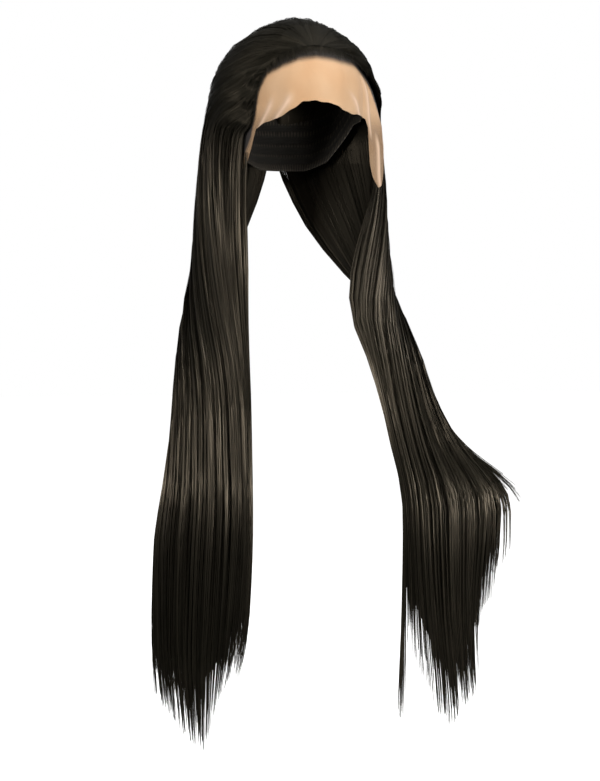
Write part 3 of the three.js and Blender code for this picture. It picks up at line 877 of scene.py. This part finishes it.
def baby_hairs(side):
    place = places_of(BABY_HAIRS)
    behind = ROOTS_FROM - lowered(place) + chance.uniform(-2 * MM, 9 * MM, BABY_HAIRS)
    first = root_row(side, place, behind)
    last = root_row(side, place, behind + chance.uniform(*BABY_LENGTH, BABY_HAIRS))
    return make_hairs(side, place, first, np.full(BABY_HAIRS, 0.2), last, width=0.6)


# %% [markdown]
# The ribbons are cut at the heights where the solids divide, so that each mesh stands for one of them. A
# hair is worked out the same way above and below a cut, and so the pieces meet without a seam.

# %% Make the hair
CROWN_CUTS = {"front": 12, "cap": 6, "nape": 3, "baby": 4, "lock": 2}
SIDE_CUTS = 6
LENGTH_CUTS = 14
BODY_CUTS = 18


def dress_side(side, loose):
    front, cap, nape = hairs_of(side)
    stray, baby = stray_hairs(side), baby_hairs(side)
    locks = [loose_hairs(side, *lock) for lock in loose]
    crown = [
        ribbons(front, front["first"], CROWN_STEPS, CROWN_CUTS["front"]),
        ribbons(cap, cap["first"], CROWN_STEPS, CROWN_CUTS["cap"]),
        ribbons(nape, nape["first"], CROWN_STEPS, CROWN_CUTS["nape"]),
        ribbons(stray, stray["first"], CROWN_STEPS, CROWN_CUTS["cap"]),
        ribbons(baby, baby["first"], baby["last"], CROWN_CUTS["baby"]),
        hair_body(side, None, CROWN_STEPS, BODY_CUTS),
        *[ribbons(lock, lock["first"], CROWN_STEPS, CROWN_CUTS["lock"]) for lock in locks],
    ]
    everything = [front, cap, nape, stray, *locks]
    beside = [ribbons(hairs, CROWN_STEPS, LENGTHS_ROW, SIDE_CUTS) for hairs in everything]
    lengths = [ribbons(hairs, LENGTHS_ROW, hairs["last"], LENGTH_CUTS) for hairs in everything]
    beside.append(hair_body(side, CROWN_STEPS, LENGTHS_ROW, SIDE_CUTS))
    lengths.append(hair_body(side, LENGTHS_ROW, None, LENGTH_CUTS))
    return crown, beside, lengths


right_crown, right_beside, right_lengths = dress_side(RIGHT, LOOSE_LOCKS["right"])
left_crown, left_beside, left_lengths = dress_side(LEFT, LOOSE_LOCKS["left"])
hair_pieces = {
    "crown_hair": mesh_of_ribbons("crown_strands", right_crown + left_crown),
    "right_side_hair": mesh_of_ribbons("right_side_strands", right_beside),
    "left_side_hair": mesh_of_ribbons("left_side_strands", left_beside),
    "right_lengths": mesh_of_ribbons("right_length_strands", right_lengths),
    "left_lengths": mesh_of_ribbons("left_length_strands", left_lengths),
}

# %% [markdown]
# ## The lace
#
# The lace is one sheet of very fine net, cut by hand from the forehead to the ears and sewn to the cap
# behind. It is a grid of quads: across the head by direction, and down from the seam to the free edge. It
# follows the head, stands off it in the flap, and has a few creases near the free edge, where nothing
# stretches it. Each crease runs from a top to a foot, given by direction and depth, and bends a little. Two
# waves of unlike length make the edge as uneven as scissors do. Where hair is knotted in, the lace darkens.
# Worn, it is stretched by about a fiftieth of its area.

# %% Lace sheet
LACE_LAP = 4 * MM
LACE_COLUMNS = 180
LACE_LINES = 60
WRINKLE_HEIGHT = 0.9 * MM
EDGE_WAVE = 0.8 * MM
ROOTED_REACH = 7 * MM
CREASES = [
    ((-22, 82 * MM), (-33, 112 * MM), 3.2),
    ((-37, 85 * MM), (-47, 122 * MM), 2.6),
    ((30, 78 * MM), (46, 106 * MM), 3),
    ((52, 50 * MM), (62, 120 * MM), 2.2),
    ((65, 110 * MM), (72, 178 * MM), 2.6),
]
CREASE_SHARES = (-0.1, 0.35, 0.9, 1.25)
ROOTED_DIRECTIONS = (25, 52)
LACE_REACH = HEAD_HALF_BREADTH * 1.15


def grid_mesh(name, points, flat, **shares):
    lines, columns = points.shape[:2]
    index = np.arange(lines * columns).reshape(lines, columns)
    corners = [index[:-1, :-1], index[1:, :-1], index[1:, 1:], index[:-1, 1:]]
    quads = np.stack(corners, axis=-1).reshape(-1, 4)
    mesh = bpy.data.meshes.new(name)
    mesh.from_pydata(points.reshape(-1, 3).tolist(), [], quads.tolist())
    mesh.polygons.foreach_set("use_smooth", np.ones(len(quads), bool))
    layer = mesh.uv_layers.new(name="flat")
    layer.data.foreach_set("uv", flat.reshape(-1, 2)[quads.ravel()].astype(np.float32).ravel())
    for share, values in shares.items():
        kept = mesh.attributes.new(share, "FLOAT", "POINT")
        kept.data.foreach_set("value", np.broadcast_to(values, points.shape[:2]).astype(np.float32).ravel())
    made = bpy.data.objects.new(name, mesh)
    bpy.context.scene.collection.objects.link(made)
    print(name, "has", 2 * len(quads), "triangles")
    return made


def crease(around, depth, top, foot, width):
    share = (depth - top[1]) / (foot[1] - top[1])
    middle = lerp(top[0], foot[0], share) + 1.2 * np.sin(5 * share)
    line = np.exp(-(((around - middle) / width) ** 2))
    return line * hump(share, *CREASE_SHARES)


def lace_points():
    around = np.linspace(LACE_EDGE[0][0], LACE_EDGE[-1][0], LACE_COLUMNS)[None, :]
    share = np.linspace(0, 1, LACE_LINES)[:, None]
    seam = down_angle(rim_depth(around)) - LACE_LAP / CROWN_HEIGHT
    wave = EDGE_WAVE * (np.sin(0.23 * around + 0.5) + 0.45 * np.sin(0.61 * around))
    edge = down_angle(read(LACE_EDGE, around) + wave)
    around, down = np.broadcast_arrays(around, lerp(seam, edge, share))
    depth = -on_head(around, down, 0)[..., 2]
    creases = sum(crease(around, depth, *line) for line in CREASES)
    loose = smooth(share, 0.4, 1)
    ripple = 0.4 * np.sin(0.3 * around + 25 * depth) * loose
    lift = lace_stand(around, depth) + LACE_WALL / 2 + WRINKLE_HEIGHT * (ripple + creases)
    behind = read(HAIRLINE, around) - depth
    behind = behind + FOREHEAD_DROP * (1 - smooth(np.abs(around), *ROOTED_DIRECTIONS))
    rooted = smooth(behind, -ROOTED_REACH, 0.3 * ROOTED_REACH)
    return on_head(around, down, lift, hangs=True), around, depth, np.clip(creases, 0, 1), rooted


points, around, depth, creases, rooted = lace_points()
free = smooth(depth, LACE_BROW_DEPTH, LACE_BROW_DEPTH * 1.3)
lace_flat = np.stack([np.radians(around) * LACE_REACH, -depth], axis=-1)
lace = grid_mesh("lace_net", points, lace_flat, crease=creases, rooted=rooted, free=free)

# %% [markdown]
# ## The cap
#
# The cap is a stretch net that the hair is sewn to in rows, called wefts. The rows show inside it as raised
# bands, and a soft band runs round its rim. It is a dome with two faces: a grid from the top to the rim on
# the outside, and back up on the inside, where the bands stand proud.

# %% Cap
CAP_COLUMNS = 160
CAP_LINES = 90
WEFT_SPACING = 11 * MM
WEFT_WIDTH = 3 * MM
RIM_BAND = 8 * MM
WEFT_PROUD = 0.6 * MM


def cap_face(outer):
    around = np.linspace(-180, 180, CAP_COLUMNS + 1)[None, :]
    share = np.linspace(0.001, 1, CAP_LINES)[:, None]
    rim = down_angle(rim_depth(around))
    around, down = np.broadcast_arrays(around, rim * share)
    from_rim = (1 - share) * rim * CROWN_HEIGHT
    weft = np.abs(from_rim % WEFT_SPACING - WEFT_SPACING / 2) < WEFT_WIDTH / 2
    band = from_rim < RIM_BAND
    sewn = weft | band
    inside = np.where(sewn, 0, WEFT_PROUD)
    flat = np.stack(np.broadcast_arrays(np.radians(around) * HEAD_HALF_BREADTH, -from_rim), axis=-1)
    return on_head(around, down, CAP_WALL if outer else inside), flat, sewn


faces = [np.concatenate([out, back[::-1]]) for out, back in zip(cap_face(True), cap_face(False))]
cap = grid_mesh("cap_net", faces[0], faces[1], sewn=faces[2])

# %% [markdown]
# ## Finishes
#
# A colour is chosen as a screen shows it, in sRGB, and one function turns it to the linear values that the
# renderer counts with. Another adds a node with its settings and its links.

# %% Colours and nodes


def linear(code):
    parts = [int(code[i : i + 2], 16) / 255 for i in (1, 3, 5)]
    return [c / 12.92 if c <= 0.04045 else ((c + 0.055) / 1.055) ** 2.4 for c in parts] + [1]


def add(tree, kind, links=None, **settings):
    node = tree.nodes.new("ShaderNode" + kind)
    for name, value in settings.items():
        if hasattr(node, name):
            setattr(node, name, value)
        else:
            node.inputs[name.replace("_", " ")].default_value = value
    for name, source in (links or {}).items():
        tree.links.new(source, node.inputs[name])
    return node


def new_finish(name):
    finish = bpy.data.materials.new(name)
    finish.use_nodes = True
    finish.node_tree.nodes.clear()
    return finish, finish.node_tree


print("near-black brown is", [round(c, 4) for c in linear("#1c1814")[:3]])

# %% [markdown]
# ### Smooth dark hair
#
# Hair is keratin, clear and slightly brown, with a refractive index of about 1.55. Its shine is a band
# across the hair: it is narrow along the hair and wide across it, which is what an anisotropic shader gives
# when its tangent runs across the ribbon. Wisps differ a little in tone, and fine lines along the ribbon
# stand for the single hairs in it. Real lines are 0.08 mm apart, and they are drawn about 0.25 mm apart to
# show at all.
#
# Near the head hair crosses hair and the knots stand up, so there the shine is weaker and wider. Both
# change slowly from the sixth row to the eleventh.

# %% Hair finish
HAIR_LINE = 0.25 * MM
LINE_CHANGES = 6
HAIR_ROUGHNESS = (0.3, 0.48)
COMBED_FLAT = (5.5 * ROW_DROP, 11 * ROW_DROP)
COMBED_ROUGHER = 0.16
COMBED_SHINE = 0.28
HANGING_SHINE = 0.55


def straight_hair():
    finish, tree = new_finish("straight_black_brown_hair")
    tone = add(tree, "Attribute", attribute_name="tone")
    flat = add(tree, "UVMap", uv_map="along_hair")
    parts = add(tree, "SeparateXYZ", {"Vector": flat.outputs["UV"]})
    wide = sum(RIBBON_WIDTH) / 2 / HAIR_LINE
    fine = add(tree, "CombineXYZ", {"Z": tone.outputs["Fac"]})
    scaled = add(tree, "Math", {0: parts.outputs["X"]}, operation="MULTIPLY")
    scaled.inputs[1].default_value = wide
    slow = add(tree, "Math", {0: parts.outputs["Y"]}, operation="MULTIPLY")
    slow.inputs[1].default_value = LINE_CHANGES
    tree.links.new(scaled.outputs[0], fine.inputs["X"])
    tree.links.new(slow.outputs[0], fine.inputs["Y"])
    lines = add(tree, "TexNoise", {"Vector": fine.outputs[0]}, Scale=2.0, Detail=2.0)
    colour = add(tree, "ValToRGB", {"Fac": tone.outputs["Fac"]})
    colour.color_ramp.elements[0].color = linear("#0b0c09")
    colour.color_ramp.elements[1].color = linear("#1f1d17")
    shade = add(tree, "MapRange", {"Value": lines.outputs["Fac"]}, To_Min=0.75, To_Max=1.25)
    links = {0: colour.outputs["Color"], "Scale": shade.outputs["Result"]}
    tinted = add(tree, "VectorMath", links, operation="SCALE")
    rough = add(tree, "MapRange", {"Value": lines.outputs["Fac"]})
    rough.inputs["To Min"].default_value = HAIR_ROUGHNESS[0]
    rough.inputs["To Max"].default_value = HAIR_ROUGHNESS[1]
    combed = add(tree, "MapRange", {"Value": parts.outputs["Y"]}, To_Min=COMBED_ROUGHER, To_Max=0)
    shine = add(tree, "MapRange", {"Value": parts.outputs["Y"]}, To_Min=COMBED_SHINE, To_Max=HANGING_SHINE)
    for change in (combed, shine):
        change.inputs["From Min"].default_value = COMBED_FLAT[0]
        change.inputs["From Max"].default_value = COMBED_FLAT[1]
    softer = add(tree, "Math", {0: rough.outputs["Result"], 1: combed.outputs["Result"]}, operation="ADD")
    tangent = add(tree, "Tangent", direction_type="UV_MAP", uv_map="along_hair")
    surface = add(
        tree,
        "BsdfPrincipled",
        {"Base Color": tinted.outputs[0], "Roughness": softer.outputs[0], "Tangent": tangent.outputs[0]},
        IOR=1.55,
        Anisotropic=0.6,
    )
    surface.inputs["Specular Tint"].default_value = linear("#fbe6c8")
    tree.links.new(shine.outputs["Result"], surface.inputs["Specular IOR Level"])
    add(tree, "OutputMaterial", {"Surface": surface.outputs[0]})
    return finish


hair_finish = straight_hair()
for node, piece in hair_pieces.items():
    piece.data.materials.append(hair_finish)
    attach(piece, "root")
    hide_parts(node)
print("hair pieces:", len(hair_pieces))

# %% [markdown]
# ### Sheer lace
#
# Swiss lace is a knitted nylon net with holes of about half a millimetre. The holes are drawn 1.1 mm apart
# here, so that they show from across a room. Between the threads it is clear, and alpha says how much. The
# loose flap and the tab look clearer than the rest, with nothing behind them. A crease looks denser, and it
# is painted a lighter colour, a painted highlight along the fold.

# %% Lace finish
NET_PITCH = 1.1 * MM
THREAD_COVER = 0.95
HOLE_COVER = 0.5
FREE_COVER = 0.55
CREASE_COVER = 0.85


def sheer_net():
    finish, tree = new_finish("sheer_nylon_lace")
    flat = add(tree, "UVMap", uv_map="flat")
    links = {"Vector": flat.outputs["UV"]}
    cells = add(tree, "TexVoronoi", links, feature="DISTANCE_TO_EDGE", Scale=1 / NET_PITCH, Randomness=0.25)
    thread = add(tree, "MapRange", {"Value": cells.outputs["Distance"]}, From_Min=0.05, From_Max=0.28)
    thread.inputs["To Min"].default_value = THREAD_COVER
    thread.inputs["To Max"].default_value = HOLE_COVER
    crease = add(tree, "Attribute", attribute_name="crease")
    free = add(tree, "Attribute", attribute_name="free")
    thinner = add(tree, "MapRange", {"Value": free.outputs["Fac"]}, To_Min=1, To_Max=FREE_COVER)
    covers = {0: thread.outputs["Result"], 1: thinner.outputs["Result"]}
    net = add(tree, "Math", covers, operation="MULTIPLY")
    rooted = add(tree, "Attribute", attribute_name="rooted")
    doubled = add(tree, "Math", {0: crease.outputs["Fac"]}, operation="MULTIPLY")
    doubled.inputs[1].default_value = CREASE_COVER
    denser = add(tree, "Math", {0: doubled.outputs[0], 1: rooted.outputs["Fac"]}, operation="MAXIMUM")
    cover = add(tree, "Math", {0: net.outputs[0], 1: denser.outputs[0]}, operation="MAXIMUM")
    cloud = add(tree, "TexNoise", links, Scale=25.0, Detail=1.0)
    colour = add(tree, "ValToRGB", {"Fac": cloud.outputs["Fac"]})
    colour.color_ramp.elements[0].position = 0.3
    colour.color_ramp.elements[0].color = linear("#e3b384")
    colour.color_ramp.elements[1].position = 0.7
    colour.color_ramp.elements[1].color = linear("#ecc297")
    # creases are painted a lighter colour: a painted highlight along each fold
    fold_with_painted_highlight = add(tree, "MixRGB", {"Fac": crease.outputs["Fac"], "Color1": colour.outputs["Color"]})
    fold_with_painted_highlight.inputs["Color2"].default_value = linear("#efcbab")
    knotted = add(tree, "MixRGB", {"Fac": rooted.outputs["Fac"], "Color1": fold_with_painted_highlight.outputs["Color"]})
    knotted.inputs["Color2"].default_value = linear("#1e150f")
    links = {"Base Color": knotted.outputs["Color"], "Alpha": cover.outputs[0]}
    surface = add(tree, "BsdfPrincipled", links, Roughness=0.75, IOR=1.53)
    surface.inputs["Sheen Weight"].default_value = 0.3
    add(tree, "OutputMaterial", {"Surface": surface.outputs[0]})
    return finish


lace.data.materials.append(sheer_net())
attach(lace, "root")
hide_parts("lace_front")

# %% [markdown]
# ### Dark stretch net
#
# The cap's net is soft black-brown nylon with a matt face. Its meshes are about a millimetre wide, and they
# are drawn a little wider here and raised with a bump. Its threads are lighter than the hollows between
# them, and the hollows are painted darker as painted shade. The sewn bands are ribbed across by their
# stitches.

# %% Cap finish
CAP_MESH = 1.4 * MM
STITCH_PITCH = 12 * MM


def stretch_net():
    finish, tree = new_finish("dark_stretch_net")
    flat = add(tree, "UVMap", uv_map="flat")
    links = {"Vector": flat.outputs["UV"]}
    cells = add(tree, "TexVoronoi", links, feature="DISTANCE_TO_EDGE", Scale=1 / CAP_MESH, Randomness=0.1)
    thread = add(tree, "MapRange", {"Value": cells.outputs["Distance"]}, From_Max=0.3, To_Min=1, To_Max=0)
    # the hollows between the threads take the darker colour: painted shade in the hollows
    net = add(tree, "ValToRGB", {"Fac": thread.outputs["Result"]})
    net.color_ramp.elements[0].color = linear("#1b1916")
    net.color_ramp.elements[1].color = linear("#3b3730")
    stitch = add(tree, "TexWave", links, Scale=1 / STITCH_PITCH, Distortion=0.6, bands_direction="X")
    band = add(tree, "ValToRGB", {"Fac": stitch.outputs["Fac"]})
    band.color_ramp.elements[0].color = linear("#282520")
    band.color_ramp.elements[1].color = linear("#4f483d")
    sewn = add(tree, "Attribute", attribute_name="sewn")
    colour = add(tree, "MixRGB", {"Fac": sewn.outputs["Fac"], "Color1": net.outputs["Color"]})
    tree.links.new(band.outputs["Color"], colour.inputs["Color2"])
    relief = add(tree, "Bump", {"Height": thread.outputs["Result"]}, Strength=0.6, Distance=0.3 * MM)
    links = {"Base Color": colour.outputs["Color"], "Normal": relief.outputs[0]}
    surface = add(tree, "BsdfPrincipled", links, Roughness=0.85, IOR=1.5)
    add(tree, "OutputMaterial", {"Surface": surface.outputs[0]})
    return finish


cap.data.materials.append(stretch_net())
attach(cap, "root")
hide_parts("wig_cap")
print("the cap's meshes are drawn", CAP_MESH / MM, "mm wide")

# %% [markdown]
# ## Stage, light and camera
#
# The floor is plain pale paper, lit as evenly as the white behind it, so that the wig stands out by itself.
# It shows to the camera alone, because light from under the hair would wash out its dark ends.

# %% Stage
FLOOR_Z = -0.87
FLOOR_HALF = 12


def make_floor():
    reach = (-FLOOR_HALF, FLOOR_HALF)
    points = np.array([[(x, y, FLOOR_Z) for x in reach] for y in reach])
    floor = grid_mesh("pale_floor", points, points[..., :2])
    finish, tree = new_finish("pale_paper")
    grain = add(tree, "TexNoise", Scale=40.0)
    colour = add(tree, "ValToRGB", {"Fac": grain.outputs["Fac"]})
    colour.color_ramp.elements[0].color = linear("#fdfdfc")
    colour.color_ramp.elements[1].color = linear("#ffffff")
    links = {"Base Color": colour.outputs["Color"], "Emission Color": colour.outputs["Color"]}
    surface = add(tree, "BsdfPrincipled", links, Roughness=0.9)
    surface.inputs["Emission Strength"].default_value = 0.9
    add(tree, "OutputMaterial", {"Surface": surface.outputs[0]})
    floor.data.materials.append(finish)
    floor.visible_diffuse = False
    floor.visible_glossy = False


make_floor()

# %% [markdown]
# ## Light
#
# A straight hair shines where it turns a light into the camera, and hanging hair does so for a light at its
# own height. So one soft window stands on the wearer's right, turned down a little toward the right length,
# and one stands low on the left, for the left length. The hair below the left ear slopes forward, so it
# needs a box above it. A box in front lights the lace, and two weak ones fill in the side and the back.

# %% Lights
scene = bpy.context.scene
scene.view_settings.view_transform = "Standard"


def aim(thing, place, target):
    thing.location = place
    thing.rotation_euler = (Vector(target) - Vector(place)).to_track_quat("-Z", "Y").to_euler()


def soft_box(name, place, target, size, watts):
    light = bpy.data.lights.new(name, "AREA")
    light.shape = "RECTANGLE"
    light.size, light.size_y = size
    light.energy = watts
    lamp = bpy.data.objects.new(name, light)
    scene.collection.objects.link(lamp)
    aim(lamp, place, target)


soft_box("right_window", (-2.0, -1.65, -0.1), (-0.1, -0.1, -0.45), (0.7, 0.5), 38)
soft_box("top_box", (0.65, -0.75, 1.25), (0.1, -0.1, -0.3), (0.7, 0.6), 18)
soft_box("low_window", (1.35, -1.75, -0.62), (0.15, -0.1, -0.53), (0.6, 0.3), 25)
soft_box("forehead_box", (0.3, -1.9, 1.1), (0, 0, -0.1), (1.0, 0.6), 13)
soft_box("right_box", (-2.2, 0.2, -0.2), (0, 0, -0.4), (0.8, 1.2), 4)
soft_box("back_box", (0.3, 2.4, 0.4), (0, 0, -0.3), (1.4, 1.0), 9)

# %% [markdown]
# The surround is white behind the wig, and dim elsewhere: a little light from above and less from below.

# %% Surround
SURROUND_ABOVE = 0.25
SURROUND_BELOW = 0.03


def make_surround():
    world = bpy.data.worlds.new("surround")
    world.use_nodes = True
    tree = world.node_tree
    tree.nodes.clear()
    place = add(tree, "TexCoord")
    parts = add(tree, "SeparateXYZ", {"Vector": place.outputs["Generated"]})
    links = {"Value": parts.outputs["Z"]}
    height = add(tree, "MapRange", links, interpolation_type="SMOOTHSTEP", From_Min=-0.5, From_Max=0.9)
    height.inputs["To Min"].default_value = SURROUND_BELOW
    height.inputs["To Max"].default_value = SURROUND_ABOVE
    dim = add(tree, "Background", {"Strength": height.outputs["Result"]})
    dim.inputs["Color"].default_value = (1, 1, 1, 1)
    white = add(tree, "Background", Strength=1.0)
    white.inputs["Color"].default_value = (1, 1, 1, 1)
    seen = add(tree, "LightPath")
    links = {0: seen.outputs["Is Camera Ray"], 1: dim.outputs[0], 2: white.outputs[0]}
    mixed = add(tree, "MixShader", links)
    add(tree, "OutputWorld", {"Surface": mixed.outputs[0]})
    scene.world = world


make_surround()
print("the surround's light from above is", SURROUND_ABOVE, "of full white")

# %% [markdown]
# ## Camera
#
# The camera stands two metres away with a long lens, so that the hair in front looks hardly larger than the
# hair behind. It is turned fourteen degrees to the wearer's right and raised by two, as in the picture.

# %% Camera
CAMERA_TURN = math.radians(-14)
CAMERA_ELEVATION = math.radians(2)
CAMERA_DISTANCE = 2.1
FIELD_WIDTH = 0.672
LOOK_AT = (4.4 * MM, -1.1 * MM, -403 * MM)

camera_data = bpy.data.cameras.new("camera")
camera_data.sensor_fit = "HORIZONTAL"
camera_data.angle = 2 * math.atan(FIELD_WIDTH / 2 / CAMERA_DISTANCE)
camera = bpy.data.objects.new("camera", camera_data)
scene.collection.objects.link(camera)
ahead = (
    -math.sin(CAMERA_TURN) * math.cos(CAMERA_ELEVATION),
    math.cos(CAMERA_TURN) * math.cos(CAMERA_ELEVATION),
    -math.sin(CAMERA_ELEVATION),
)
aim(camera, [at - way * CAMERA_DISTANCE for at, way in zip(LOOK_AT, ahead)], LOOK_AT)
scene.camera = camera
print("the camera sees", round(math.degrees(camera_data.angle), 1), "degrees")
